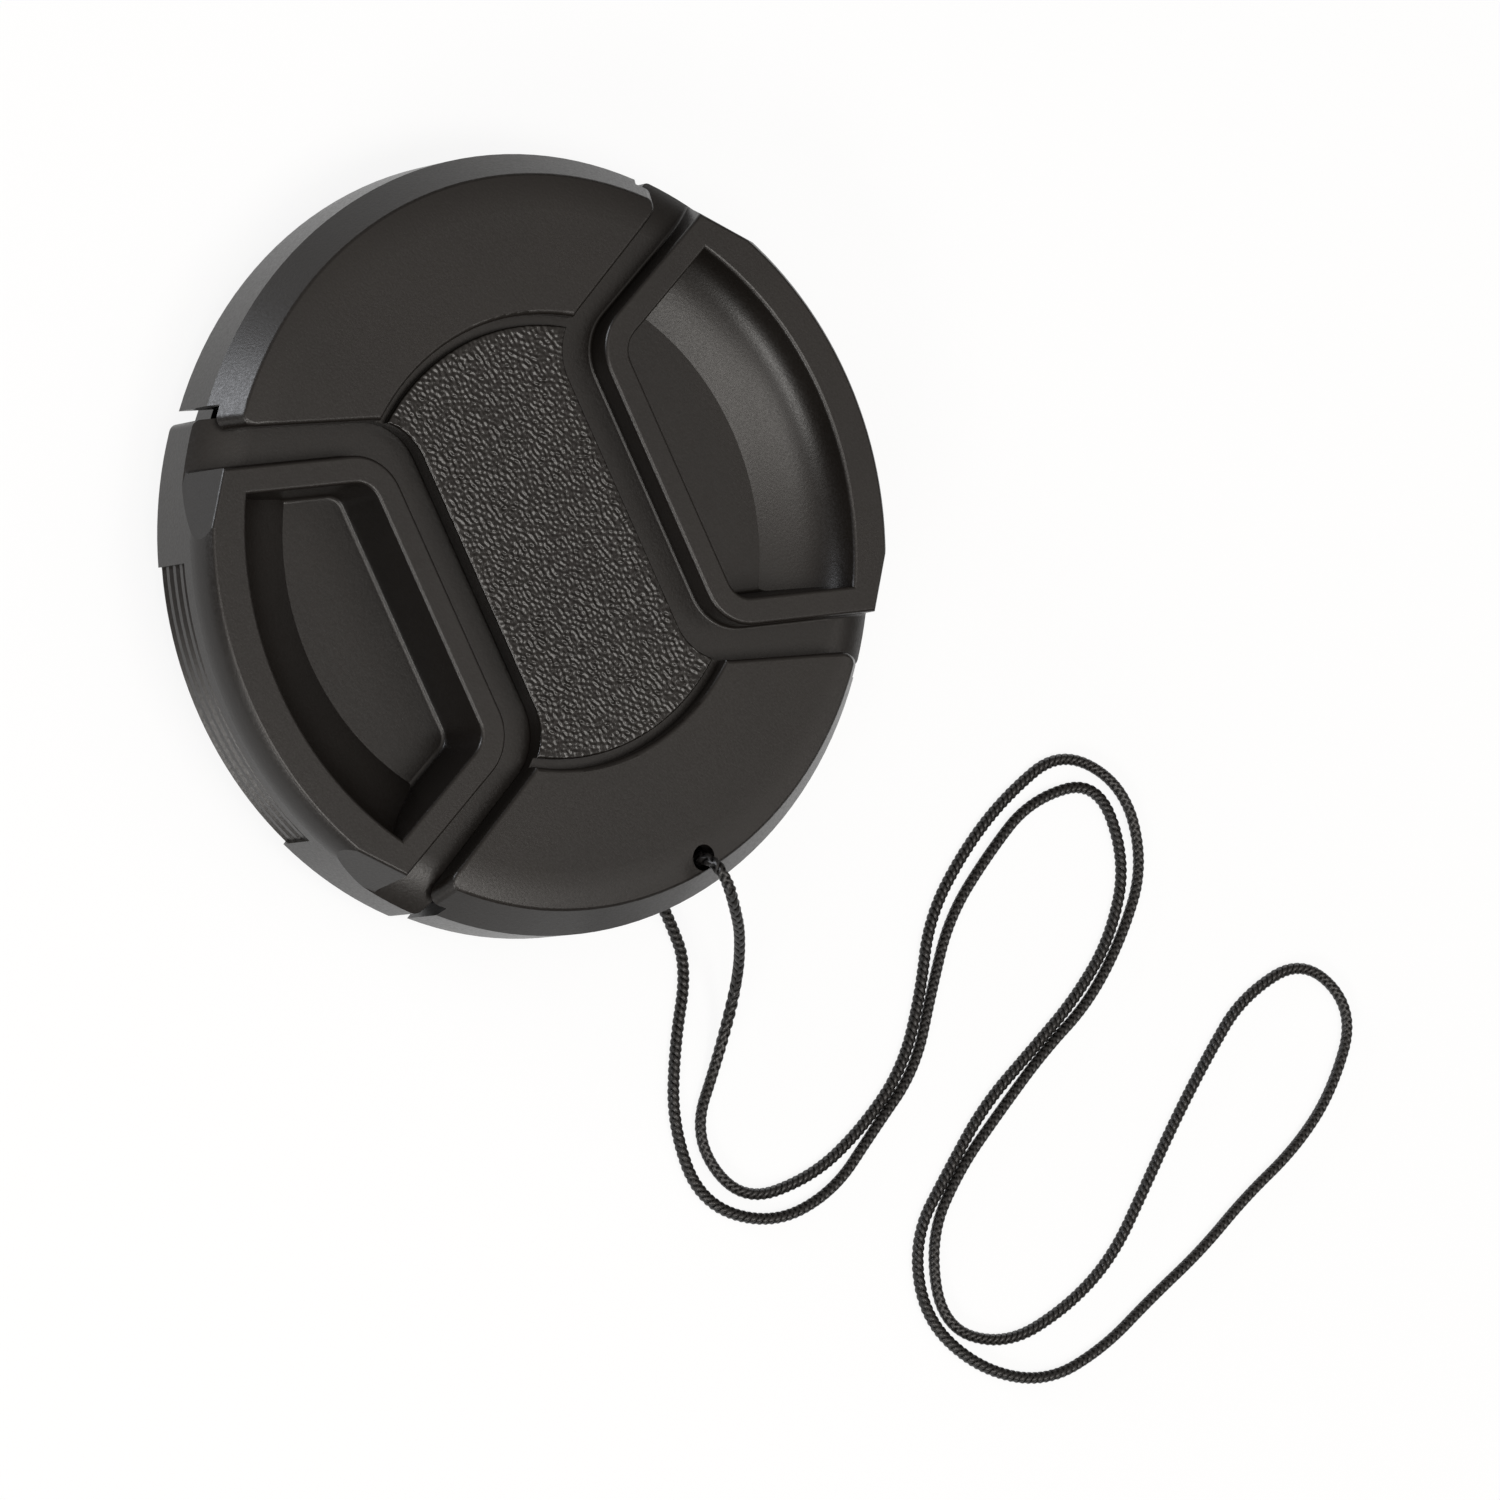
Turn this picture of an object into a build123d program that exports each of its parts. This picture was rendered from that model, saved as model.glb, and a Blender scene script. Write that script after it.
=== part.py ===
"""Centre-pinch lens cap for a 58 mm filter thread, with its keeper cord.

Millimetres. The cap lies on its back: +Z is the front face, X is the pinch axis and Y runs from dome to dome.
The origin is on the cap's axis, at the end of the rear ring.
"""
import os
from math import cos, pi, radians, sin, sqrt, tan

from build123d import *

os.makedirs("parts", exist_ok=True)

# Whole cap
thread_radius = 28.6         # smallest radius of the lens's 58 x 0.75 filter thread
rim_overhang = 2.6           # how far the cap's rim stands out past the thread
spigot_depth = 2.6           # rear ring that goes inside the filter thread
wall_height = 4.65           # straight part of the domes' outer wall
bevel_inset = 1.9            # how far the bevel above that wall leans in
bevel_height = 7.5           # from the back of the rim to the top of the bevel
dome_crown = 0.3             # rise of the domes from the bevel to their flat top
crown_width = 2.9            # width of the rounded strip between the bevel and the flat top

# Clearances
slide_clearance = 0.15       # between the latch flange and what it slides under or over
floor_clearance = 0.3        # between the latch's underside and the rear plate
seat_clearance = 0.05        # between pieces that are fitted together for good

# Front cover
cover_wall = 1.4
dome_thickness = 1.3
channel_half = 7.5           # half width of the bridge between the two latch channels
channel_inset = 2.04         # from the domes' inner edge to where their side lines would meet the bridge
channel_angle = 21.8         # of the domes' edges to the pinch axis
channel_corner = 5.0
dome_edge_round = 0.35
dome_end_round = 0.9
panel_recess_radius = 18.1   # inner edge of the domes
bridge_thickness = 0.95
post_radius = 1.6
post_pin_radius = 0.9
post_x = 8.5
post_y = 21.5
cord_hole_radius = 1.05
cord_hole_x = 0.65
cord_hole_inset = 2.95       # from the rim

# Centre panel
panel_groove = 0.8           # groove at the panel's curved ends
panel_thickness = 0.8
panel_edge_round = 0.2

# Latches
latch_rest_offset = 0.6      # how far the released latches stand out
latch_travel = 2.2
frame_gap = 3.35             # from the bridge's side to the raised frame
frame_side_gap = 1.45        # between the lines of the domes' sides and of the frame's
frame_angle = 19.8
frame_corner = 4.3
frame_step = 2.4             # height of the raised frame above the flange
frame_band = 2.2             # width of the frame around the well
frame_edge_round = 0.3
frame_foot_round = 0.25      # where the frame's wall meets the flange
flange_thickness = 1.5
flange_lap = 1.0             # how far the flange reaches under the domes
flange_tuck = 1.3            # how far the flange reaches under the bridge
flange_end_height = 3.9      # outer wall height at the flange's ends
flange_fall_width = 4.5      # width of the strip that rolls down to that wall
flange_corner = 0.8          # upright outer corners of the flange
rim_wall_height = 5.5        # straight outer wall below the rim's rounded edge
rim_round_inset = 0.9
latch_wall = 1.8
facet_azimuth = 40.0         # of the flat cut at each end of the rim
facet_tilt = 19.6
facet_inset = 0.23           # from the domes' wall
well_depth = 5.0
well_draft = 6.0
well_rim_width = 3.25        # from the domes' wall to the inner edge of the rim
scoop_length = 5.95          # from the end of the flat floor to the rim
scoop_start_angle = 24.0
scoop_end_angle = 83.0
floor_thickness = 1.3
floor_round = 0.4
passage_clearance = 0.2      # between the pressed latch's flange and the ends of the domes' wall

# Ribbed grip on each latch's outer wall
grip_half_angle = 22.5
grip_height = 4.4
grip_depth = 0.3
grip_groove_depth = 0.35
grip_groove_count = 4
grip_land_share = 0.2        # share of each rib's pitch, each side of its groove

# Thread-gripping teeth behind each latch
tooth_half_angle = 24.0
tooth_pitch = 0.75
tooth_count = 3
tooth_depth = 0.4
tooth_bite = 0.1             # how far the teeth stand out past the thread with the latch level with the rim
tooth_wall = 1.2
tooth_floor_gap = 0.1        # keeps the teeth off the surface that the cap lies on

# Rear plate
plate_thickness = 1.2
plate_latch_space = 6.0      # from the rim to the plate's edge behind the latches
spigot_wall = 1.2
spigot_clearance = 0.2
spigot_gap_half_angle = 38.0  # of the two gaps in the ring, where the latches' teeth come through
rail_start_x = 11.5
rail_end_x = 17.3
rail_space = 2.7             # from the domes' edge line to the rails
rail_width = 1.0
cord_notch_width = 3.2
lug_x = 19.0
lug_length = 2.0
lug_half_width = 2.5
lug_clearance = 0.1

# Springs
spring_radius = 1.2
spring_wire = 0.3
spring_turns = 7
spring_wall = 1.6
spring_wall_length = 12.0
spring_peg_radius = 0.8
spring_peg_length = 1.4

# Keeper cord
cord_diameter = 0.9
cord_bend_share = 0.45       # share of the shorter run that each bend takes up

# Radii
cap_radius = thread_radius + rim_overhang
crown_radius = cap_radius - bevel_inset - crown_width
well_rim_radius = cap_radius - well_rim_width
scoop_radius = well_rim_radius - scoop_length
panel_radius = panel_recess_radius - panel_groove
tooth_tip_radius = thread_radius + tooth_bite
plate_latch_radius = cap_radius - plate_latch_space
spigot_radius = thread_radius - spigot_clearance

# Levels, from the surface that the cap lies on
back_z = spigot_depth
skirt_bottom = back_z + slide_clearance
bevel_top = back_z + bevel_height
top_z = bevel_top + dome_crown
flange_top = top_z - frame_step
flange_bottom = flange_top - flange_thickness
floor_z = top_z - well_depth
pocket_bottom = floor_z - floor_thickness
plate_top = pocket_bottom - floor_clearance
plate_bottom = plate_top - plate_thickness
bridge_bottom = flange_top + slide_clearance
panel_seat = bridge_bottom + bridge_thickness
dome_ceiling = top_z - dome_thickness
spring_z = (plate_top + flange_bottom) / 2
reach = 2 * cap_radius       # past the outside of everything

# Lines that several pieces share
frame_x = channel_half + frame_gap
channel_side = sqrt((panel_recess_radius - channel_inset) ** 2 - channel_half ** 2)
frame_side = channel_side - frame_side_gap
flange_inner_x = channel_half - flange_tuck
rail_y = channel_side + rail_space
cord_hole_y = cord_hole_inset - cap_radius
flange_side = channel_side + (flange_inner_x - channel_half) * tan(radians(channel_angle))
flange_side += flange_lap / cos(radians(channel_angle))
passage_gap = latch_travel * sin(radians(channel_angle)) + passage_clearance
passage_side = flange_side + passage_gap / cos(radians(channel_angle))


def flared_outline(inner_x, side_y, angle, corner=0.0, inset=0.0):
    """Planform of a latch: a straight side at inner_x and two sides that spread outwards at an angle."""
    slope = tan(radians(angle))
    x0 = inner_x + inset
    y0 = side_y + inset * slope - inset / cos(radians(angle))
    y1 = y0 + (reach - x0) * slope
    with BuildSketch() as outline:
        with BuildLine():
            Polyline((x0, -y0), (x0, y0), (reach, y1), (reach, -y1), close=True)
        make_face()
        if corner > 0:
            fillet(outline.vertices().group_by(Axis.X)[0], corner)
    return outline.sketch


channel_plan = flared_outline(channel_half, channel_side, channel_angle, channel_corner)
frame_plan = flared_outline(frame_x, frame_side, frame_angle, frame_corner)
well_plan = flared_outline(frame_x, frame_side, frame_angle, frame_corner - frame_band, frame_band)
flange_plan = flared_outline(flange_inner_x, flange_side, channel_angle)
passage_plan = flared_outline(flange_inner_x, passage_side, channel_angle)
latch_axis = Axis((latch_rest_offset, 0, 0), (0, 0, 1))


# Front cover: a turned dome, hollowed from behind and opened for the two latches
with BuildPart() as front_cover:
    with BuildSketch(Plane.XZ):
        with BuildLine():
            crease = (cap_radius - bevel_inset, bevel_top)
            crown = (crown_radius, top_z)
            Polyline((0, back_z), (cap_radius, back_z), (cap_radius, back_z + wall_height), crease)
            TangentArc(crown, crease, tangent=(1, 0))
            Polyline(crown, (0, top_z), (0, back_z))
        make_face()
    revolve(axis=Axis.Z)
    # The space for the rear plate, the flanges and the springs
    with BuildSketch(Plane.XZ):
        with BuildLine():
            inner = cap_radius - cover_wall
            Polyline(
                (0, 0), (inner, 0), (inner, back_z + wall_height - dome_edge_round),
                (inner - bevel_inset / 2, bridge_bottom), (0, bridge_bottom), close=True,
            )
        make_face()
    revolve(axis=Axis.Z, mode=Mode.SUBTRACT)
    # The hollow under each dome
    with BuildSketch(Plane.XY.offset(bridge_bottom)):
        Circle(cap_radius - bevel_inset - dome_thickness)
        Circle(panel_recess_radius + dome_thickness, mode=Mode.SUBTRACT)
        for turn in (0, 180):
            add(flared_outline(channel_half, channel_side, channel_angle, 0, -cover_wall),
                rotation=turn, mode=Mode.SUBTRACT)
    extrude(amount=dome_ceiling - bridge_bottom, mode=Mode.SUBTRACT)
    # The two latch channels, and the gaps in the outer wall below them
    for turn in (0, 180):
        with BuildSketch(Plane.XY.offset(bridge_bottom)):
            add(channel_plan, rotation=turn)
        extrude(amount=reach, mode=Mode.SUBTRACT)
        with BuildSketch(Plane.XY):
            add(passage_plan, rotation=turn)
        extrude(amount=bridge_bottom, mode=Mode.SUBTRACT)
    # The recess for the centre panel
    with BuildSketch(Plane.XY.offset(panel_seat)):
        Circle(panel_recess_radius)
    extrude(amount=reach, mode=Mode.SUBTRACT)
    # Posts that are staked through the rear plate
    with BuildSketch(Plane.XY.offset(plate_top)):
        with GridLocations(2 * post_x, 2 * post_y, 2, 2):
            Circle(post_radius)
    extrude(amount=dome_ceiling - plate_top)
    with BuildSketch(Plane.XY.offset(plate_bottom)):
        with GridLocations(2 * post_x, 2 * post_y, 2, 2):
            Circle(post_pin_radius)
    extrude(amount=plate_thickness)
    # Rounded ends and top edges of the domes, then the keeper cord's hole
    ends = front_cover.edges().filter_by(GeomType.HYPERBOLA).filter_by_position(Axis.Z, bridge_bottom, top_z)
    fillet(ends, dome_end_round)
    top_edges = front_cover.faces().sort_by(Axis.Z)[-4:].edges()
    smooth = [e for e in top_edges.filter_by(GeomType.CIRCLE) if round(e.radius - crown_radius, 3) == 0]
    fillet(top_edges - smooth, dome_edge_round)
    with Locations((cord_hole_x, cord_hole_y, top_z)):
        Hole(cord_hole_radius)
front_cover.part.label = "front_cover"
export_step(front_cover.part, "parts/front_cover.step")


# Centre panel: the grained plate, with the channels' outline on its long sides
with BuildPart() as centre_panel:
    with BuildSketch(Plane.XY.offset(panel_seat)):
        Circle(panel_radius)
        for turn in (0, 180):
            add(channel_plan, rotation=turn, mode=Mode.SUBTRACT)
    extrude(amount=panel_thickness)
    fillet(centre_panel.faces().sort_by(Axis.Z)[-1].edges(), panel_edge_round)
centre_panel.part.label = "centre_panel"
export_step(centre_panel.part, "parts/centre_panel.step")


# Latch flange: the low shelf and the outer wall that it carries
with BuildPart() as latch_flange:
    with BuildSketch(Plane.XY.offset(skirt_bottom)):
        add(flange_plan)
    extrude(amount=flange_top - skirt_bottom)
    with BuildSketch(Plane.XZ):
        with BuildLine():
            r = cap_radius + latch_rest_offset
            end_edge = (r, back_z + flange_end_height)
            fall = (r - flange_fall_width, flange_top)
            Polyline((latch_rest_offset, skirt_bottom), (r, skirt_bottom), end_edge)
            TangentArc(fall, end_edge, tangent=(1, 0))
            Polyline(fall, (latch_rest_offset, flange_top), (latch_rest_offset, skirt_bottom))
        make_face()
    revolve(axis=latch_axis, mode=Mode.INTERSECT)
    fillet(latch_flange.edges().filter_by(Axis.Z).group_by(Axis.X)[-1], flange_corner)
    with BuildSketch(Plane.XY.offset(skirt_bottom)):
        with Locations((latch_rest_offset, 0)):
            Circle(cap_radius - latch_wall)
    extrude(amount=flange_bottom - skirt_bottom, mode=Mode.SUBTRACT)

# The finger well: drafted sides, a flat floor and a scoop that rises to the rim
with BuildPart() as well:
    with BuildSketch(Plane.XY.offset(top_z)):
        add(well_plan)
    extrude(amount=-well_depth, taper=well_draft)
    with BuildSketch(Plane.XZ):
        with BuildLine():
            start = (scoop_radius, floor_z)
            end = (well_rim_radius, top_z)
            Polyline(end, (0, top_z), (0, floor_z), start)
            leans = [(cos(radians(a)), sin(radians(a))) for a in (scoop_start_angle, scoop_end_angle)]
            Spline(start, end, tangents=leans)
        make_face()
    revolve(axis=Axis.Z, mode=Mode.INTERSECT)
    floor_edges = well.faces().sort_by(Axis.Z)[0].edges()
    fillet([e for e in floor_edges if e.geom_type == GeomType.LINE or e.radius < frame_corner], floor_round)

# The ribbed grip, as what is cut from the outer wall
with BuildPart() as grip_cut:
    with BuildSketch(Plane.XZ):
        with BuildLine():
            face = latch_rest_offset + cap_radius - grip_depth
            pitch = grip_height / grip_groove_count
            land = grip_land_share * pitch
            edge = [(reach, 0), (face, 0)]
            for i in range(grip_groove_count):
                low = back_z + i * pitch
                edge += [(face, low + land), (face - grip_groove_depth, low + pitch / 2)]
                edge += [(face, low + pitch - land)]
            edge += [(face, back_z + grip_height), (reach, back_z + grip_height)]
            Polyline(*edge, close=True)
        make_face()
    revolve(axis=latch_axis)
    with BuildSketch(Plane.XY):
        spread = reach * tan(radians(grip_half_angle))
        with BuildLine():
            Polyline((latch_rest_offset, 0), (reach, spread), (reach, -spread), close=True)
        make_face()
    extrude(amount=reach, mode=Mode.INTERSECT)

# The teeth that catch the filter thread
with BuildPart() as teeth:
    with BuildSketch(Plane.XZ):
        with BuildLine():
            tip = latch_rest_offset + tooth_tip_radius
            root = tip - tooth_depth
            low = tooth_floor_gap
            edge = [(root - tooth_wall, pocket_bottom), (root - tooth_wall, low), (root, low)]
            for i in range(tooth_count):
                edge += [(tip, low + (i + 0.5) * tooth_pitch), (root, low + (i + 1) * tooth_pitch)]
            edge += [(root, pocket_bottom)]
            Polyline(*edge, close=True)
        make_face()
    revolve(axis=latch_axis)
    with BuildSketch(Plane.XY):
        spread = reach * tan(radians(tooth_half_angle))
        with BuildLine():
            Polyline((latch_rest_offset, 0), (reach, spread), (reach, -spread), close=True)
        make_face()
    extrude(amount=reach, mode=Mode.INTERSECT)

# Latch: raised frame round the well, on its flange
with BuildPart() as latch_right:
    with BuildSketch(Plane.XY.offset(pocket_bottom)):
        add(frame_plan)
    extrude(amount=top_z - pocket_bottom)
    with BuildSketch(Plane.XZ):
        with BuildLine():
            r = cap_radius + latch_rest_offset
            shoulder = (r, back_z + rim_wall_height)
            brow = (r - rim_round_inset, top_z)
            Polyline((latch_rest_offset, back_z), (r, back_z), shoulder)
            TangentArc(shoulder, brow, tangent=(0, 1))
            Polyline(brow, (latch_rest_offset, top_z), (latch_rest_offset, back_z))
        make_face()
    revolve(axis=latch_axis, mode=Mode.INTERSECT)
    # Flat cut at each end of the rim
    for side in (-1, 1):
        turn = radians(facet_azimuth)
        tilt = radians(facet_tilt)
        normal = Vector(cos(turn) * cos(tilt), side * sin(turn) * cos(tilt), sin(tilt))
        with BuildSketch(Plane(Vector(0, 0, back_z) + normal * (cap_radius - facet_inset), z_dir=normal)):
            Rectangle(reach, reach)
        extrude(amount=reach, mode=Mode.SUBTRACT)
    add(latch_flange.part)
    add(grip_cut.part, mode=Mode.SUBTRACT)
    add(well.part, mode=Mode.SUBTRACT)
    fillet(latch_right.faces().sort_by(Axis.Z)[-1].edges(), frame_edge_round)
    foot = latch_right.edges().filter_by_position(Axis.Z, flange_top, flange_top).filter_by(lambda e: e.is_interior)
    fillet([e for e in foot if e.geom_type == GeomType.LINE or e.radius < cap_radius / 2], frame_foot_round)
    add(teeth.part)
    # Lug that runs in the rear plate's slot, and the spring's peg
    with BuildSketch(Plane.XY.offset(pocket_bottom)):
        with Locations((lug_x + lug_length / 2, 0)):
            Rectangle(lug_length, 2 * lug_half_width)
    extrude(amount=-(floor_clearance + plate_thickness))
    with BuildSketch(Plane.YZ.offset(frame_x)):
        with Locations((0, spring_z)):
            Circle(spring_peg_radius)
    extrude(amount=-spring_peg_length)
latch_right.part.label = "latch_right"
export_step(latch_right.part, "parts/latch_right.step")

with BuildPart() as latch_left:
    mirror(latch_right.part, about=Plane.YZ)
latch_left.part.label = "latch_left"
export_step(latch_left.part, "parts/latch_left.step")


# Rear plate: closes the cap, locates it in the thread and carries the springs
with BuildPart() as rear_plate:
    with BuildSketch(Plane.XY.offset(plate_bottom)):
        Circle(cap_radius - cover_wall - seat_clearance)
        for turn in (0, 180):
            add(passage_plan, rotation=turn, mode=Mode.SUBTRACT)
        Circle(plate_latch_radius)
    extrude(amount=plate_thickness)
    with BuildSketch(Plane.XY):
        Circle(spigot_radius)
        Circle(spigot_radius - spigot_wall, mode=Mode.SUBTRACT)
        spread = reach * tan(radians(spigot_gap_half_angle))
        for side in (-1, 1):
            with BuildLine():
                Polyline((0, 0), (side * reach, spread), (side * reach, -spread), close=True)
            make_face(mode=Mode.SUBTRACT)
        with Locations((cord_hole_x, -spigot_radius)):
            Rectangle(cord_notch_width, 4 * spigot_wall, mode=Mode.SUBTRACT)
    extrude(amount=plate_bottom)
    # Wall between the springs, with a peg for each
    with BuildSketch(Plane.XY.offset(plate_top)):
        Rectangle(spring_wall, spring_wall_length)
    extrude(amount=bridge_bottom - seat_clearance - plate_top)
    with BuildSketch(Plane.YZ):
        with Locations((0, spring_z)):
            Circle(spring_peg_radius)
    extrude(amount=spring_wall / 2 + spring_peg_length, both=True)
    # Rails under the flanges
    with BuildSketch(Plane.XY.offset(plate_top)):
        rail_length = rail_end_x - rail_start_x
        with GridLocations(rail_start_x + rail_end_x, 2 * rail_y + rail_width, 2, 2):
            Rectangle(rail_length, rail_width)
    extrude(amount=flange_bottom - slide_clearance - plate_top)
    # Slots that stop the latches, holes for the posts and the cord
    with BuildSketch(Plane.XY.offset(plate_bottom)):
        slot_start = lug_x - latch_travel - lug_clearance
        slot_end = lug_x + lug_length + lug_clearance
        with GridLocations(slot_start + slot_end, 0, 2, 1):
            Rectangle(slot_end - slot_start, 2 * lug_half_width + 2 * slide_clearance)
        with GridLocations(2 * post_x, 2 * post_y, 2, 2):
            Circle(post_pin_radius + seat_clearance)
        with Locations((cord_hole_x, cord_hole_y)):
            Circle(cord_hole_radius)
    extrude(amount=plate_thickness, mode=Mode.SUBTRACT)
rear_plate.part.label = "rear_plate"
export_step(rear_plate.part, "parts/rear_plate.step")


# Springs: one for each latch, between the wall and the latch's pocket
spring_start = spring_wall / 2 + spring_wire / 2 + seat_clearance
spring_end = frame_x - spring_wire / 2 - seat_clearance
spring_length = spring_end - spring_start
with BuildPart() as spring_right:
    with BuildLine() as coil:
        Helix(
            pitch=spring_length / spring_turns, height=spring_length,
            radius=spring_radius - spring_wire / 2,
            center=(spring_start, 0, spring_z), direction=(1, 0, 0),
        )
    with BuildSketch(Plane(coil.line @ 0, z_dir=coil.line % 0)):
        Circle(spring_wire / 2)
    sweep(is_frenet=True)
spring_right.part.label = "spring_right"
export_step(spring_right.part, "parts/spring_right.step")

with BuildPart() as spring_left:
    mirror(spring_right.part, about=Plane.YZ)
spring_left.part.label = "spring_left"
export_step(spring_left.part, "parts/spring_left.step")


# Keeper cord: one loop, out of the front of its hole, over the rim, along the surface that the cap lies on and back
# under the rim to the hole
cord_route = [
    (0.65, -28.25, 8.9), (0.65, -28.25, 11.3), (0.6, -30.3, 12.4), (1.2, -33.1, 10.6), (2.4, -35.8, 7.6),
    (3.1, -40.1, 2.9), (-0.1, -45.3, 0.47), (-5.3, -49.9, 0.47), (-3.7, -56.7, 0.47), (3.3, -57.9, 0.47),
    (9.4, -56.6, 0.47), (15.3, -54, 0.47), (19.7, -49.4, 0.47), (23.4, -44.2, 0.47), (29, -40.8, 0.47),
    (34.8, -38.6, 0.47), (41.6, -37.5, 0.47), (45.9, -42.9, 0.47), (44.5, -49.6, 0.47), (39.7, -54, 0.47),
    (34.2, -57.3, 0.47), (28.3, -58.9, 0.47), (22.2, -61.3, 0.47), (16.3, -63.8, 0.47), (11.2, -67.4, 0.47),
    (8.8, -74.4, 0.47), (13.6, -78.6, 0.47), (20.4, -78.6, 0.47), (26.4, -77, 0.47), (31.9, -73.4, 0.47),
    (37.1, -69.9, 0.47), (42.8, -66.5, 0.47), (48.2, -63.7, 0.47), (55.4, -63.5, 0.47), (58, -69.8, 0.47),
    (52.6, -74.8, 0.47), (47, -77.3, 0.47), (40.6, -78.6, 0.47), (34.6, -80.5, 0.47), (28.3, -81.7, 0.47),
    (22.1, -83.2, 0.47), (15.7, -83.1, 0.47), (10.4, -79.1, 0.47), (7.6, -73, 0.47), (9.8, -66.7, 0.47),
    (15.5, -63.3, 0.47), (21, -60.2, 0.47), (27.2, -58.3, 0.47), (33.2, -56.4, 0.47), (38.7, -53.5, 0.47),
    (43.1, -48.5, 0.47), (43.7, -41.3, 0.47), (36.9, -39.9, 0.47), (31, -42.1, 0.47), (25.2, -45, 0.47),
    (20.8, -49.6, 0.47), (16.4, -54.6, 0.47), (10.4, -57.2, 0.47), (4.6, -59.9, 0.47), (-1.9, -59.6, 0.47),
    (-7.1, -55, 0.47), (-6.5, -48.2, 0.47), (-3.3, -42.6, 0.47), (0.7, -37.5, 0.47), (1, -33.3, 0.47),
    (0.7, -30.2, 0.6), (0.65, -28.45, 1.7), (0.65, -28.25, 3.6),
]
cord_radii = []
for before, at, after in zip(cord_route, cord_route[1:], cord_route[2:]):
    run_in = Vector(*at) - Vector(*before)
    run_out = Vector(*after) - Vector(*at)
    half_turn = radians(run_in.get_angle(run_out) / 2)
    cord_radii.append(cord_bend_share * min(run_in.length, run_out.length) / tan(half_turn))
with BuildPart() as cord:
    with BuildLine() as cord_path:
        FilletPolyline(*cord_route, radius=cord_radii)
    with BuildSketch(Plane(cord_path.line @ 0, z_dir=cord_path.line % 0)):
        Circle(cord_diameter / 2)
    sweep()
cord.part.label = "cord"
export_step(cord.part, "parts/cord.step")
cord_length = sum(edge.length for edge in cord_path.edges())
print("cord radii", [round(r, 1) for r in cord_radii])
print("cord length", round(cord_length, 1), "volume", round(cord.part.volume, 1),
      "section x length", round(pi * cord_diameter ** 2 / 4 * cord_length, 1))
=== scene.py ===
# %% [markdown]
# # A centre-pinch lens cap and its keeper cord
#
# The cap is a handful of black mouldings: a front cover with two plain domes, two sprung latches with
# finger wells, a grained panel between them and a rear plate that closes the back. A thin braided cord is
# threaded through one dome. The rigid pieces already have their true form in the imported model, so this
# lesson loads that model as a fixed frame and gives it what a solid modeller leaves plain: the braid of
# the cord, the grain of the panel, the coils of the springs, and the finish of every surface. Lengths are
# in metres, in the model's own frame.

import bpy
import numpy as np
from mathutils import Matrix, Vector


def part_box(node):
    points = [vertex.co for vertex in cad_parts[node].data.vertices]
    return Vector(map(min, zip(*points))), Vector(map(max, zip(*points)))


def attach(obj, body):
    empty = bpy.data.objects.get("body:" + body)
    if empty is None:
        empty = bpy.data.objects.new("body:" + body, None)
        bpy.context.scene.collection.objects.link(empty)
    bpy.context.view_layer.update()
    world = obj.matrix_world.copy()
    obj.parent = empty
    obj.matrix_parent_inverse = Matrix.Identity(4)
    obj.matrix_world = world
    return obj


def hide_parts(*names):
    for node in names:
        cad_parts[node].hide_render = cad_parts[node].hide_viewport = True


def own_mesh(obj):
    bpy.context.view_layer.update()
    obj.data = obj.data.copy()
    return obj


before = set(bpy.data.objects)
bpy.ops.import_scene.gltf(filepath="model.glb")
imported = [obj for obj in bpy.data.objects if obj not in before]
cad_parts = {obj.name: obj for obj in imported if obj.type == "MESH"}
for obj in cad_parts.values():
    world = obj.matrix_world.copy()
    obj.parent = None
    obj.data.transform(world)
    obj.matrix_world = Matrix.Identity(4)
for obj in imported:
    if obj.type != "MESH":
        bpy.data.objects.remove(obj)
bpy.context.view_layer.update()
mm = 0.001
print("nodes", sorted(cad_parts))

# %% [markdown]
# ## The camera
#
# The picture was taken from far away with a long lens, so the cap's two ends keep almost the same scale.
# The camera stands to the left of the cap and well above it, and it is rolled so that the pinch axis runs
# up to the right. A place, a point to aim at and a direction for the top of the picture give all three,
# without any angle to work out by hand.

# %% Camera
camera_place = Vector((-0.38908, 0.11853, 0.69131))
camera_aim = Vector((0.01458, -0.02463, 0.0))
picture_up = Vector((0.4304, 0.9003, 0.0649))
camera_lens = 240.0
film_width = 36.0
nearest_seen = 0.05

camera_data = bpy.data.cameras.new("camera")
camera_data.lens = camera_lens
camera_data.sensor_width = film_width
camera_data.clip_start = nearest_seen
camera = bpy.data.objects.new("camera", camera_data)
bpy.context.scene.collection.objects.link(camera)
back = (camera_place - camera_aim).normalized()
right = picture_up.cross(back).normalized()
turn = Matrix((right, back.cross(right), back)).transposed()
camera.matrix_world = Matrix.Translation(camera_place) @ turn.to_4x4()
bpy.context.scene.camera = camera
print("camera stands", round((camera_place - camera_aim).length, 3), "m from what it aims at")

# %% [markdown]
# ## The route of the keeper cord
#
# The cord is one loop of limp braid. It comes up out of the hole in the lower dome, drops over the rim,
# wanders over the table in loose double loops and goes back under the rim to the hole. It could be drawn
# as a Bezier curve with a round bevel, but a bevel can't carry the braid. So the route is a NURBS spline,
# whose points pull the line without corners, and the finished line is read back as a chain of points for
# the braid to follow. The spline's order and end points are set after its points are added, because a
# spline with too few points drops back to straight runs.

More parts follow.
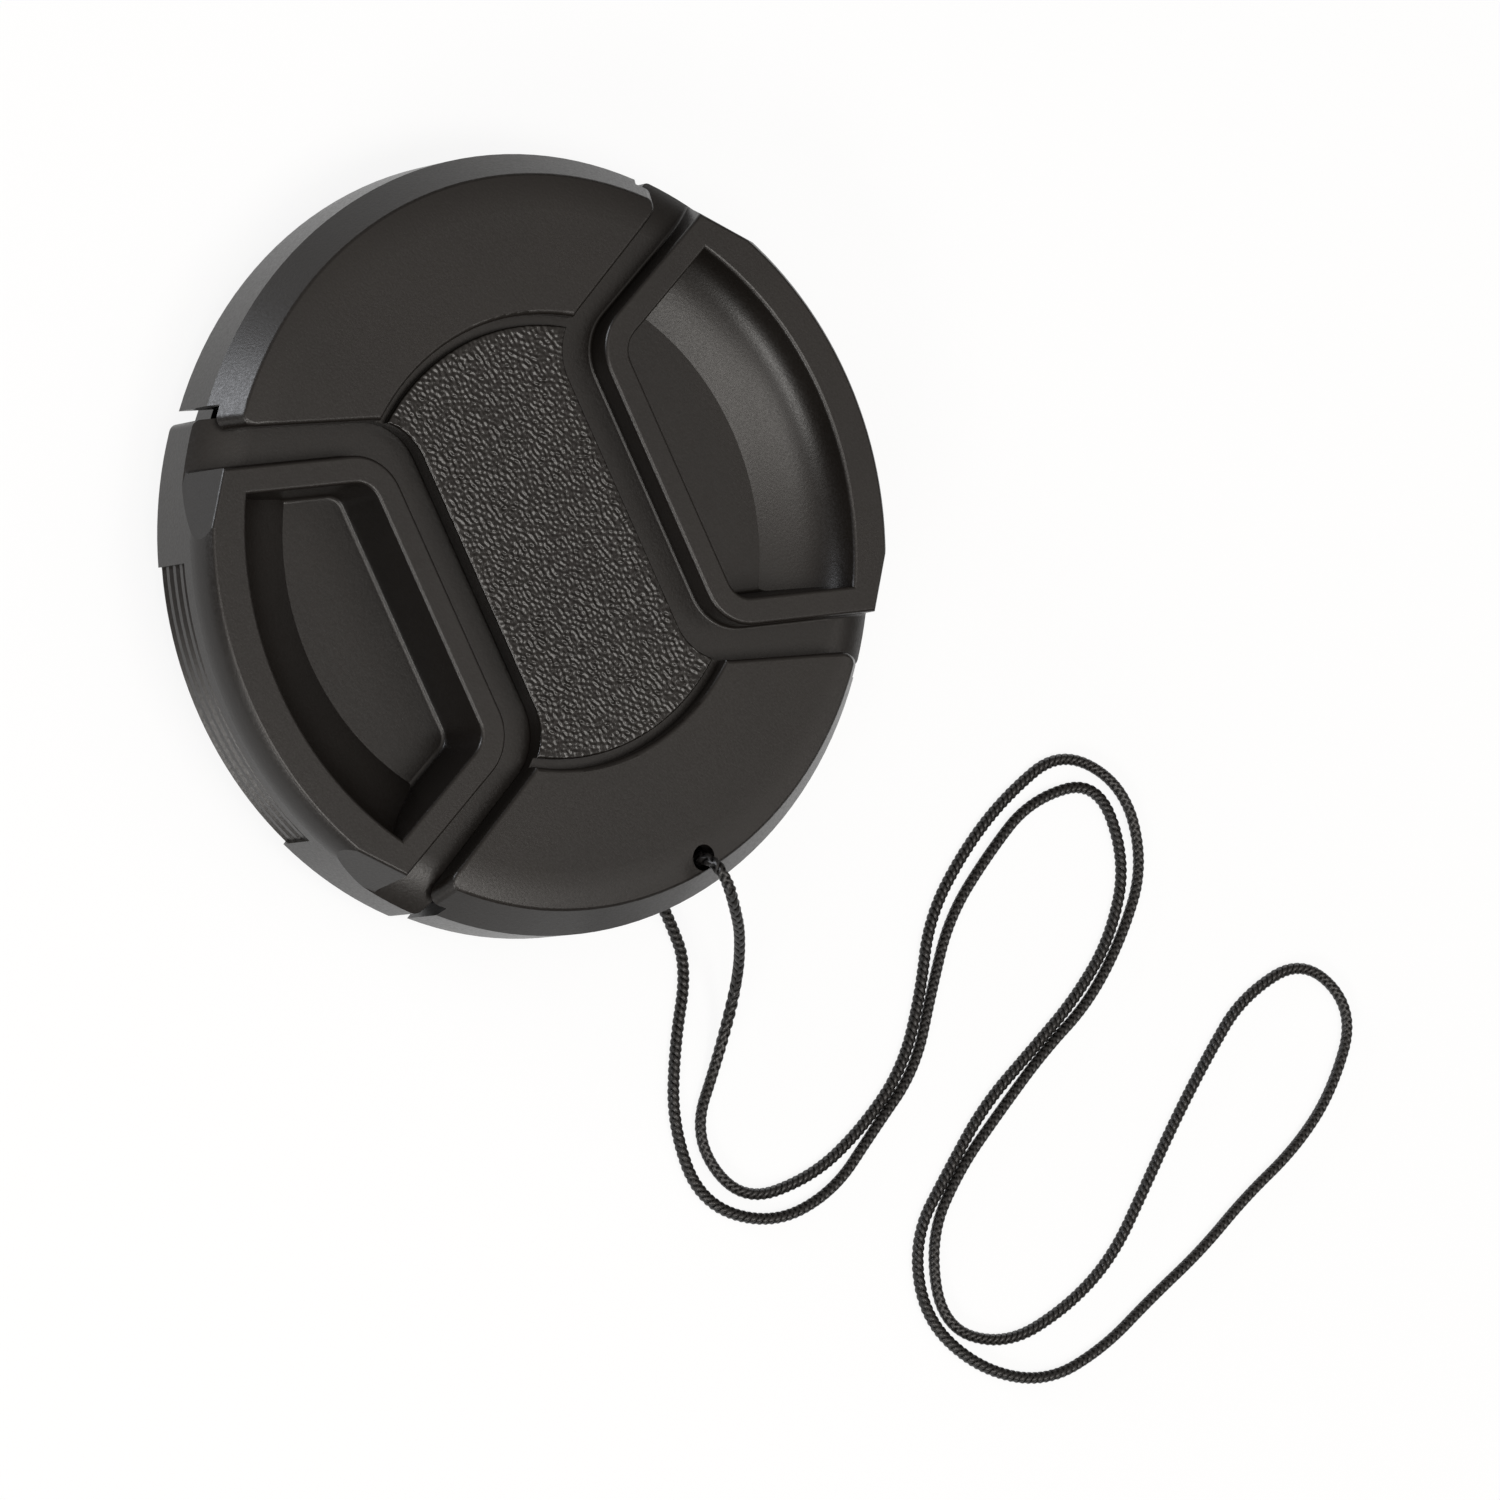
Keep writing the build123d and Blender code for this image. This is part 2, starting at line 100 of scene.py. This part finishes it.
# %% Cord route
cord_route = [
    (0.00065, -0.02825, 0.0089), (0.00065, -0.02825, 0.0113), (0.0006, -0.0303, 0.0124),
    (0.0012, -0.0331, 0.0106), (0.0024, -0.0358, 0.0076), (0.0031, -0.0401, 0.0029),
    (-0.0001, -0.0453, 0.00047), (-0.0053, -0.0499, 0.00047), (-0.0037, -0.0567, 0.00047),
    (0.0033, -0.0579, 0.00047), (0.0094, -0.0566, 0.00047), (0.0153, -0.054, 0.00047),
    (0.0197, -0.0494, 0.00047), (0.0234, -0.0442, 0.00047), (0.029, -0.0408, 0.00047),
    (0.0348, -0.0386, 0.00047), (0.0416, -0.0375, 0.00047), (0.0459, -0.0429, 0.00047),
    (0.0445, -0.0496, 0.00047), (0.0397, -0.054, 0.00047), (0.0342, -0.0573, 0.00047),
    (0.0283, -0.0589, 0.00047), (0.0222, -0.0613, 0.00047), (0.0163, -0.0638, 0.00047),
    (0.0112, -0.0674, 0.00047), (0.0088, -0.0744, 0.00047), (0.0136, -0.0786, 0.00047),
    (0.0204, -0.0786, 0.00047), (0.0264, -0.077, 0.00047), (0.0319, -0.0734, 0.00047),
    (0.0371, -0.0699, 0.00047), (0.0428, -0.0665, 0.00047), (0.0482, -0.0637, 0.00047),
    (0.0554, -0.0635, 0.00047), (0.058, -0.0698, 0.00047), (0.0526, -0.0748, 0.00047),
    (0.047, -0.0773, 0.00047), (0.0406, -0.0786, 0.00047), (0.0346, -0.0805, 0.00047),
    (0.0283, -0.0817, 0.00047), (0.0221, -0.0832, 0.00047), (0.0157, -0.0831, 0.00047),
    (0.0104, -0.0791, 0.00047), (0.0076, -0.073, 0.00047), (0.0098, -0.0667, 0.00047),
    (0.0155, -0.0633, 0.00047), (0.021, -0.0602, 0.00047), (0.0272, -0.0583, 0.00047),
    (0.0332, -0.0564, 0.00047), (0.0387, -0.0535, 0.00047), (0.0431, -0.0485, 0.00047),
    (0.0437, -0.0413, 0.00047), (0.0369, -0.0399, 0.00047), (0.031, -0.0421, 0.00047),
    (0.0252, -0.045, 0.00047), (0.0208, -0.0496, 0.00047), (0.0164, -0.0546, 0.00047),
    (0.0104, -0.0572, 0.00047), (0.0046, -0.0599, 0.00047), (-0.0019, -0.0596, 0.00047),
    (-0.0071, -0.055, 0.00047), (-0.0065, -0.0482, 0.00047), (-0.0033, -0.0426, 0.00047),
    (0.0007, -0.0375, 0.00047), (0.001, -0.0333, 0.00047), (0.0007, -0.0302, 0.0006),
    (0.00065, -0.02845, 0.0017), (0.00065, -0.02825, 0.0036),
]
steps_per_span = 64


def read_spline(name, points, steps):
    """The points of an open quadratic NURBS spline, as an array, with the given steps in each span."""
    curve = bpy.data.curves.new(name, "CURVE")
    curve.dimensions = "3D"
    spline = curve.splines.new("NURBS")
    spline.points.add(len(points) - 1)
    spline.points.foreach_set("co", np.column_stack([points, np.ones(len(points))]).ravel())
    spline.order_u = 3
    spline.use_endpoint_u = True
    spline.resolution_u = steps
    carrier = bpy.data.objects.new(name, curve)
    line = bpy.data.meshes.new_from_object(carrier)
    chain = np.empty(3 * len(line.vertices))
    line.vertices.foreach_get("co", chain)
    bpy.data.objects.remove(carrier)
    bpy.data.curves.remove(curve)
    bpy.data.meshes.remove(line)
    return chain.reshape(-1, 3)


cord_line = read_spline("cord_line", cord_route, steps_per_span)
cord_reach = np.concatenate([[0], np.cumsum(np.linalg.norm(np.diff(cord_line, axis=0), axis=1))])

# %% [markdown]
# ## A tube round a line
#
# The cord and the springs are both tubes: at each point of a line stands a ring, and neighbouring rings
# are joined by four-sided faces. A ring needs two directions square to the line. The line's own direction
# crossed with "up" gives the first, and where the line itself runs upwards, the reference leans over
# towards X so that it never vanishes. The two ends are closed with one face each, so that the piece is a
# closed skin.

# %% Tube helpers
def unit(vectors):
    """Each row divided by its length."""
    return vectors / np.linalg.norm(vectors, axis=1, keepdims=True)


def ring_directions(line, lean=4.0):
    """Two directions square to a line at each of its points: the line's direction crossed with a reference,
    which is up where the line is level and leans towards X by the square of the line's climb."""
    forward = unit(np.gradient(line, axis=0))
    reference = np.array([0.0, 0.0, 1.0]) + lean * forward[:, 2:] ** 2 * np.array([1.0, 0.0, 0.0])
    side = unit(np.cross(forward, reference))
    return side, np.cross(side, forward)


def tube_points(line, radius, turns):
    """Rings of points: the line plus radius times (side x cosine + up x sine) of the turn round it."""
    side, up = ring_directions(line)
    outward = side[:, None] * np.cos(turns)[..., None] + up[:, None] * np.sin(turns)[..., None]
    return line[:, None] + radius[..., None] * outward


def make_tube(name, rings):
    """A mesh object from rings of points, closed round each ring and at both ends."""
    rows, columns = rings.shape[:2]
    index = np.arange(rows * columns).reshape(rows, columns)
    ahead = np.roll(index, -1, axis=1)
    quads = np.stack([index[:-1], index[1:], ahead[1:], ahead[:-1]], axis=-1).reshape(-1, 4)
    faces = quads.tolist() + [index[0].tolist(), index[-1][::-1].tolist()]
    mesh = bpy.data.meshes.new(name)
    mesh.from_pydata(rings.reshape(-1, 3), [], faces)
    mesh.shade_smooth()
    piece = bpy.data.objects.new(name, mesh)
    bpy.context.scene.collection.objects.link(piece)
    print(name, "has", 2 * len(quads), "triangles in its wall")
    return piece


# %% [markdown]
# ## The braid
#
# Eight yarns make the cord: four wind to the right and four to the left, and each passes over two and
# under two of the others. That puts the yarns into four columns that lean in turn one way and the other,
# which the eye reads as a row of small V shapes. A picture of a braid would look flat at the edges, so
# the yarns are real relief: at every point of the tube the right-hand and the left-hand yarn both have a
# height, and the higher one shows. Where the cord hangs it is pulled, and a pulled braid opens: the
# distance is counted in longer steps there, so the pitch grows with the steepness.

# %% Braided cord
cord_diameter = 0.9 * mm
braid_pitch = 2.28 * mm
yarns_each_way = 4
yarn_round = 0.1 * mm
yarn_wave = 0.07 * mm
hang_opening = 0.9
cord_sides = 20


def braid_height(turns, distance):
    """Height of the braid's skin. A yarn's place is the turn plus or minus the distance in turns of its
    pitch. Its height is a cosine across its own width, plus a slow cosine along it that lifts it over two
    yarns and sinks it under the next two. The skin is the higher of the two yarns that meet there."""
    climb = distance / braid_pitch
    right_place = yarns_each_way * (turns / (2 * np.pi) + climb)
    left_place = yarns_each_way * (turns / (2 * np.pi) - climb)
    right_yarn = np.round(right_place)
    left_yarn = np.round(left_place)
    right_wave = np.cos(np.pi / 2 * (right_yarn + left_place) - np.pi / 4)
    left_wave = -np.cos(np.pi / 2 * (left_yarn + right_place) - np.pi / 4)
    right_height = yarn_round * np.cos(np.pi * (right_place - right_yarn)) + yarn_wave * right_wave
    left_height = yarn_round * np.cos(np.pi * (left_place - left_yarn)) + yarn_wave * left_wave
    return np.maximum(right_height, left_height)


ring_turns = np.linspace(0, 2 * np.pi, cord_sides, endpoint=False)
steepness = np.abs(unit(np.gradient(cord_line, axis=0))[1:, 2])
braid_reach = np.concatenate([[0], np.cumsum(np.diff(cord_reach) / (1 + hang_opening * steepness))])
turns, distance = np.meshgrid(ring_turns, braid_reach)
braid = braid_height(turns, distance)
cord_radius = cord_diameter / 2 + braid - braid.mean()
keeper_cord = make_tube("keeper_cord", tube_points(cord_line, cord_radius, turns))
lift = keeper_cord.data.attributes.new("lift", "FLOAT", "POINT")
lift.data.foreach_set("value", ((braid - braid.min()) / np.ptp(braid)).ravel())
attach(keeper_cord, "cap")
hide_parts("cord")
print("braid relief", round(np.ptp(braid) / mm, 3), "mm on a cord of", cord_diameter / mm, "mm")

# %% [markdown]
# ## The outline of the centre panel
#
# The panel has two straight sides that flare at the ends with the domes' corners, and two ends that are
# arcs about the cap's axis. A square grid is bent to that outline: across the panel a point keeps its
# share of the half width there, and along it its share of the height of the arc above it. No point of the
# grid collapses, so the grain keeps an even scale up to the edge.

# %% Panel grid
panel_low, panel_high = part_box("centre_panel")
arc_radius = panel_high.y
corner_x = panel_high.x
corner_y = np.sqrt(arc_radius**2 - corner_x**2)
panel_waist = 7.5 * mm
flare_radius = 5.0 * mm
flare_start = 10.815 * mm
edge_round = 0.2 * mm
edge_steps = np.array([1.0, 0.62, 0.3, 0.08])
columns_across = 216
rows_along = 406


def half_width(y):
    """Half the panel's width: the waist, and past the start of the flare an arc that curves outwards."""
    rise = np.clip(np.abs(y), flare_start, corner_y) - flare_start
    return panel_waist + flare_radius - np.sqrt(flare_radius**2 - rise**2)


def shares(count, size):
    """Even shares from -1 to 1, with four more close to each end, where the edge is rounded."""
    rim = edge_round / size * edge_steps
    even = np.linspace(-1 + 2 * rim[0], 1 - 2 * rim[0], count)
    return np.concatenate([[-1], -1 + rim[::-1], even, 1 - rim, [1]])


across, along = np.meshgrid(shares(columns_across, panel_waist), shares(rows_along, arc_radius))
panel_x = across * half_width(along * corner_y)
panel_y = along * np.sqrt(arc_radius**2 - (across * corner_x) ** 2)
print("panel", round(2 * panel_waist / mm, 2), "mm at the waist,", round(2 * arc_radius / mm, 2), "mm long")

# %% [markdown]
# ## The grain
#
# The panel's face is moulded with a fine grain of soft ridges that lean the same way, a little under half
# a millimetre from one to the next. Bump in the material would shade it but leave the edge smooth, so the
# grain is relief in the grid. It is the sum of many ripples, each with a length, a direction and a start
# drawn from a fixed seed. Where the ripples agree there is a ridge or a hollow, and where they don't the
# face is flatter, so no patch of it repeats.

# %% Grained panel
grain_slope = 0.31
grain_ripples = 90
grain_seed = 58
grain_lean = 30.0
lean_spread = 32.0
ripples_per_mm = 2.3
ripples_spread = 0.45
fewest_per_mm = 1.2
most_per_mm = 3.0
draw = np.random.default_rng(grain_seed)
ripple_count = draw.normal(ripples_per_mm, ripples_spread, grain_ripples)
ripple_length = mm / np.clip(ripple_count, fewest_per_mm, most_per_mm)
ripple_turn = np.radians(draw.normal(grain_lean, lean_spread, grain_ripples))
ripple_start = draw.uniform(0, 2 * np.pi, grain_ripples)


def grain_height(x, y):
    """Relief of the grain: a sum of ripples. A ripple is a cosine of the distance along its own direction,
    as high as its length allows, so that all are equally steep and the sum has the slope asked for."""
    height = np.zeros_like(x)
    for length, turn, start in zip(ripple_length, ripple_turn, ripple_start):
        distance = x * np.cos(turn) + y * np.sin(turn)
        height += length * np.cos(2 * np.pi * distance / length + start)
    return grain_slope / (2 * np.pi * np.sqrt(grain_ripples / 2)) * height


def make_panel(name, x, y, z, bottom):
    """A closed plate: a grid for the face, a wall round it straight down, and one face below."""
    rows, columns = x.shape
    index = np.arange(rows * columns).reshape(rows, columns)
    corners = (index[:-1, :-1], index[:-1, 1:], index[1:, 1:], index[1:, :-1])
    face = np.stack(corners, axis=-1).reshape(-1, 4)
    border = np.concatenate([index[0, :-1], index[:-1, -1], index[-1, :0:-1], index[:0:-1, 0]])
    low = rows * columns + np.arange(len(border))
    wall = np.stack([border, low, np.roll(low, -1), np.roll(border, -1)], axis=-1)
    top = np.stack([x, y, z], axis=-1).reshape(-1, 3)
    foot = np.column_stack([top[border, :2], np.full(len(border), bottom)])
    mesh = bpy.data.meshes.new(name)
    mesh.from_pydata(np.concatenate([top, foot]), [], face.tolist() + wall.tolist() + [low[::-1].tolist()])
    smooth = np.arange(len(mesh.polygons)) < len(face)
    mesh.polygons.foreach_set("use_smooth", smooth)
    piece = bpy.data.objects.new(name, mesh)
    bpy.context.scene.collection.objects.link(piece)
    print(name, "has", 2 * (len(face) + len(wall)), "triangles in its face and wall")
    return piece


edge_distance = np.minimum(half_width(panel_y) - np.abs(panel_x), arc_radius - np.hypot(panel_x, panel_y))
edge_share = np.clip(1 - edge_distance / edge_round, 0, 1)
edge_drop = edge_round * (1 - np.sqrt(1 - edge_share**2))
grain = grain_height(panel_x, panel_y)
panel_z = panel_high.z - grain.max() + grain * (1 - edge_share) - edge_drop
grained_panel = make_panel("grained_panel", panel_x, panel_y, panel_z, panel_low.z)
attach(grained_panel, "cap")
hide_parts("centre_panel")
print("grain is", round(float(np.ptp(grain)) / mm, 3), "mm from its lowest hollow to its highest ridge")

# %% [markdown]
# ## The springs
#
# A coil spring stands behind the panel for each latch. Its wire follows a helix whose pitch closes up at
# both ends, as a wound compression spring's does, and the same tube helper skins it. When the latch is
# pressed the real spring gets shorter, but each coil here keeps its full length and only gets a mesh of its
# own.

# %% Springs
spring_wire = 0.3 * mm
spring_turns = 7.0
spring_steps = 480
wire_sides = 14
closed_share = 0.35


def coil_line(start, end, radius, height):
    """A helix along X. Its advance is the share of the way, less a sine wave of one period that slows it at
    both ends."""
    share = np.linspace(0, 1, spring_steps)
    advance = share - closed_share * np.sin(2 * np.pi * share) / (2 * np.pi)
    angle = 2 * np.pi * spring_turns * share
    x = start + (end - start) * advance
    return np.column_stack([x, radius * np.cos(angle), height + radius * np.sin(angle)])


wire_turns = np.tile(np.linspace(0, 2 * np.pi, wire_sides, endpoint=False), (spring_steps, 1))
wire_radius = np.full(wire_turns.shape, spring_wire / 2)
springs = []
for side in ("left", "right"):
    low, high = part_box(f"spring_{side}")
    inner, outer = sorted((low.x, high.x), key=abs)
    inset = np.sign(outer) * spring_wire / 2
    coil = coil_line(inner + inset, outer - inset, (high.z - low.z - spring_wire) / 2, (high.z + low.z) / 2)
    spring = make_tube(f"coil_{side}", tube_points(coil, wire_radius, wire_turns))
    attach(spring, "cap")
    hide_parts(f"spring_{side}")
    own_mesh(spring)
    springs.append(spring)

# %% [markdown]
# ## Black satin plastic
#
# The mouldings are warm near-black plastic with a satin face: a fine spark-eroded texture from the mould
# breaks up the gloss without being seen as grain. One dark colour and one roughness would look like
# paint, so a slow noise moves the colour a little over the piece, a fine noise moves the roughness, and
# the same fine noise is a bump of some microns. All of it reads Object coordinates, and every piece sits
# at the origin, so the texture is at the same scale everywhere.

# %% Plastic finishes
plastic_ior = 1.5
cloud_size = 14 * mm
ramp_stops = (0.35, 0.65)
noise_middle = (0.3, 0.7)
satin_tones = ((0.0058, 0.0046, 0.0038), (0.0082, 0.0066, 0.0054))
satin_roughness = (0.3, 0.41)
grain_tones = ((0.0052, 0.0043, 0.0036), (0.0074, 0.0062, 0.0052))
grain_roughness = (0.16, 0.28)


def start_material(name):
    """A new node material: its nodes, its links and its Principled shader."""
    material = bpy.data.materials.new(name)
    material.use_nodes = True
    nodes = material.node_tree.nodes
    return material, nodes, material.node_tree.links, nodes["Principled BSDF"]


def add_noise(nodes, links, size, detail):
    """A noise over Object coordinates whose lumps are about the given size across."""
    place = nodes.new("ShaderNodeTexCoord")
    noise = nodes.new("ShaderNodeTexNoise")
    noise.inputs["Scale"].default_value = 1 / size
    noise.inputs["Detail"].default_value = detail
    links.new(place.outputs["Object"], noise.inputs["Vector"])
    return noise.outputs["Fac"]


def add_ramp(nodes, links, source, colours):
    """A colour ramp between two colours over the middle of a noise."""
    ramp = nodes.new("ShaderNodeValToRGB")
    for stop, place, colour in zip(ramp.color_ramp.elements, ramp_stops, colours):
        stop.position = place
        stop.color = (*colour, 1)
    links.new(source, ramp.inputs["Fac"])
    return ramp.outputs["Color"]


def add_range(nodes, links, source, low, high):
    """The middle of a noise, spread over a range of values."""
    spread = nodes.new("ShaderNodeMapRange")
    spread.inputs["From Min"].default_value = noise_middle[0]
    spread.inputs["From Max"].default_value = noise_middle[1]
    spread.inputs["To Min"].default_value = low
    spread.inputs["To Max"].default_value = high
    links.new(source, spread.inputs["Value"])
    return spread.outputs["Result"]


def add_bump(nodes, links, source, depth):
    """A bump of the given depth from a value."""
    bump = nodes.new("ShaderNodeBump")
    bump.inputs["Strength"].default_value = 1.0
    bump.inputs["Distance"].default_value = depth
    links.new(source, bump.inputs["Height"])
    return bump.outputs["Normal"]


def satin_plastic(name, colours, roughness, texture_size, texture_depth):
    """Moulded plastic: slow change of colour, fine change of roughness, and a fine mould texture."""
    material, nodes, links, shader = start_material(name)
    cloud = add_noise(nodes, links, cloud_size, 3.0)
    texture = add_noise(nodes, links, texture_size, 4.0)
    links.new(add_ramp(nodes, links, cloud, colours), shader.inputs["Base Color"])
    links.new(add_range(nodes, links, texture, *roughness), shader.inputs["Roughness"])
    links.new(add_bump(nodes, links, texture, texture_depth), shader.inputs["Normal"])
    shader.inputs["IOR"].default_value = plastic_ior
    return material


black_satin = satin_plastic(
    "black_satin", satin_tones, satin_roughness, texture_size=0.22 * mm, texture_depth=0.012 * mm
)
grain_black = satin_plastic(
    "grain_black", grain_tones, grain_roughness, texture_size=0.06 * mm, texture_depth=0.001 * mm
)
for node in ("front_cover", "latch_left", "latch_right", "rear_plate"):
    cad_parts[node].data.materials.clear()
    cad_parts[node].data.materials.append(black_satin)
grained_panel.data.materials.append(grain_black)
print("satin plastic on the cover, both latches and the rear plate")

# %% [markdown]
# ## Braid and spring steel
#
# The cord's yarns are black nylon, soft grey on their crowns. Where they dive under each other the colour
# and the gloss are turned down, which is painted shade. The tube carries its relief as an attribute, so the
# colour, the gloss and the painted shade follow the yarns wherever the cord turns. The springs are drawn
# wire, a bright metal with fine scratches.

# %% Cord and spring finishes
# The gap end of these tones and of the gloss is painted shade: darker and less glossy where the yarns dive
# under each other. The crown end is the yarn's own soft grey.
yarn_and_gap_shade_tones = ((0.0012, 0.0011, 0.001), (0.0085, 0.0077, 0.0072))
yarn_gloss_and_gap_shade = (0.04, 0.6)
yarn_roughness = (0.3, 0.46)
fibre_size = 0.05 * mm
fibre_depth = 0.006 * mm
wire_tones = ((0.38, 0.38, 0.37), (0.58, 0.58, 0.56))
wire_roughness = (0.18, 0.34)
scratch_size = 0.08 * mm


def nylon_braid(name):
    """Black nylon whose colour and gloss follow the braid's relief, with painted shade, darker and duller,
    in the gaps between the yarns, and fine fibres as bump.
    """
    material, nodes, links, shader = start_material(name)
    height = nodes.new("ShaderNodeAttribute")
    height.attribute_name = "lift"
    fibre = add_noise(nodes, links, fibre_size, 3.0)
    # Painted shade: the relief turns the colour and the gloss down in the gaps between the yarns.
    tone = add_ramp(nodes, links, height.outputs["Fac"], yarn_and_gap_shade_tones)
    gloss = add_range(nodes, links, height.outputs["Fac"], *yarn_gloss_and_gap_shade)
    links.new(tone, shader.inputs["Base Color"])
    links.new(gloss, shader.inputs["Specular IOR Level"])
    links.new(add_range(nodes, links, fibre, *yarn_roughness), shader.inputs["Roughness"])
    links.new(add_bump(nodes, links, fibre, fibre_depth), shader.inputs["Normal"])
    shader.inputs["IOR"].default_value = plastic_ior
    return material


def drawn_wire(name):
    """Bright drawn steel, with a fine noise in its roughness and its tone."""
    material, nodes, links, shader = start_material(name)
    scratch = add_noise(nodes, links, scratch_size, 5.0)
    links.new(add_ramp(nodes, links, scratch, wire_tones), shader.inputs["Base Color"])
    links.new(add_range(nodes, links, scratch, *wire_roughness), shader.inputs["Roughness"])
    shader.inputs["Metallic"].default_value = 1.0
    return material


keeper_cord.data.materials.append(nylon_braid("nylon_braid"))
wire_finish = drawn_wire("drawn_wire")
for spring in springs:
    spring.data.materials.append(wire_finish)
print("nylon on the cord, drawn wire on", len(springs), "springs")

# %% [markdown]
# ## The table
#
# The cap lies on plain white. A floor that is only white paint comes out light grey under plain light, so
# the rays that see it directly, in a reflection or through something clear take most of their light from
# a white of strength one. The rest is still paint, so the floor keeps the soft shadow under the cap and
# the cord.

# %% Floor
floor_half = 3.0
glow_share = 0.88
paint_white = 0.92
floor_mesh = bpy.data.meshes.new("floor")
corners = floor_half * np.array([[-1, -1, 0], [1, -1, 0], [1, 1, 0], [-1, 1, 0]])
floor_mesh.from_pydata(corners, [], [(0, 1, 2, 3)])
floor = bpy.data.objects.new("floor", floor_mesh)
bpy.context.scene.collection.objects.link(floor)


def white_table(name):
    """White paint, mixed with an even white glow for camera, glossy and transmission rays."""
    material, nodes, links, shader = start_material(name)
    nodes.remove(shader)
    paint = nodes.new("ShaderNodeBsdfDiffuse")
    paint.inputs["Color"].default_value = (paint_white, paint_white, paint_white, 1)
    glow = nodes.new("ShaderNodeEmission")
    rays = nodes.new("ShaderNodeLightPath")
    seen = nodes.new("ShaderNodeMath")
    seen.operation = "MAXIMUM"
    links.new(rays.outputs["Is Camera Ray"], seen.inputs[0])
    links.new(rays.outputs["Is Glossy Ray"], seen.inputs[1])
    through = nodes.new("ShaderNodeMath")
    through.operation = "MAXIMUM"
    links.new(seen.outputs["Value"], through.inputs[0])
    links.new(rays.outputs["Is Transmission Ray"], through.inputs[1])
    share = nodes.new("ShaderNodeMath")
    share.operation = "MULTIPLY"
    share.inputs[1].default_value = glow_share
    links.new(through.outputs["Value"], share.inputs[0])
    mix = nodes.new("ShaderNodeMixShader")
    links.new(share.outputs["Value"], mix.inputs["Fac"])
    links.new(paint.outputs["BSDF"], mix.inputs[1])
    links.new(glow.outputs["Emission"], mix.inputs[2])
    links.new(mix.outputs["Shader"], nodes["Material Output"].inputs["Surface"])
    return material


floor_mesh.materials.append(white_table("white_table"))
print("floor", 2 * floor_half, "m square")

# %% [markdown]
# ## The light
#
# Black plastic shows its form by what it mirrors. The sky of this studio is dim near the horizon and
# brighter overhead, so flat tops stay near black and their rolled edges go darker still. The top box
# stands where the ridges of the grain mirror it but the flat tops don't, which lets the grain sparkle on
# a dark face. The key box on the camera's side lights the scoop of the finger well that faces it, and the
# side box the far edge of the lower dome. The cool window stands close to the table, where the bevels of
# the upper dome mirror it, and the low strip where the ribs of the grip do.

# %% World and lamps
sky_levels = ((0.0, 0.1), (0.5, 0.2), (0.86, 0.53), (1.0, 0.95))
sky_tint = (1.0, 0.93, 0.87)
lamp_table = (
    ("top_box", (0.04, -0.36, 0.95), (0.4, 0.4), 5.6, (1.0, 0.97, 0.93)),
    ("key_box", (-0.42, -0.14, 0.95), (0.36, 0.36), 4.5, (1.0, 0.97, 0.93)),
    ("cool_window", (-0.53, 0.84, 0.17), (0.4, 0.3), 13.0, (0.95, 0.98, 1.04)),
    ("low_strip", (-0.825, -0.29, 0.47), (0.55, 0.2), 10.0, (1.0, 0.98, 0.95)),
    ("side_box", (0.635, -0.428, 0.643), (0.4, 0.3), 1.2, (1.0, 0.95, 0.9)),
)

world = bpy.data.worlds.new("studio_sky")
bpy.context.scene.world = world
world.use_nodes = True
sky = world.node_tree.nodes
ray_place = sky.new("ShaderNodeTexCoord")
ray_parts = sky.new("ShaderNodeSeparateXYZ")
levels = sky.new("ShaderNodeValToRGB")
ramp = levels.color_ramp
while len(ramp.elements) < len(sky_levels):
    ramp.elements.new(0.5)
for stop, (place, level) in zip(ramp.elements, sky_levels):
    stop.position = place
    stop.color = (*(level * share for share in sky_tint), 1)
world.node_tree.links.new(ray_place.outputs["Generated"], ray_parts.inputs["Vector"])
world.node_tree.links.new(ray_parts.outputs["Z"], levels.inputs["Fac"])
world.node_tree.links.new(levels.outputs["Color"], sky["Background"].inputs["Color"])

for name, place, size, brightness, colour in lamp_table:
    lamp_data = bpy.data.lights.new(name, "AREA")
    lamp_data.shape = "RECTANGLE"
    lamp_data.size, lamp_data.size_y = size
    lamp_data.energy = brightness * np.pi * size[0] * size[1]
    lamp_data.color = colour
    lamp = bpy.data.objects.new(name, lamp_data)
    bpy.context.scene.collection.objects.link(lamp)
    aim = Vector(place).to_track_quat("Z", "Y").to_matrix().to_4x4()
    lamp.matrix_world = Matrix.Translation(place) @ aim
    print(name, round(lamp_data.energy, 2), "W at", round(Vector(place).length, 2), "m")
bpy.context.scene.view_settings.view_transform = "Standard"
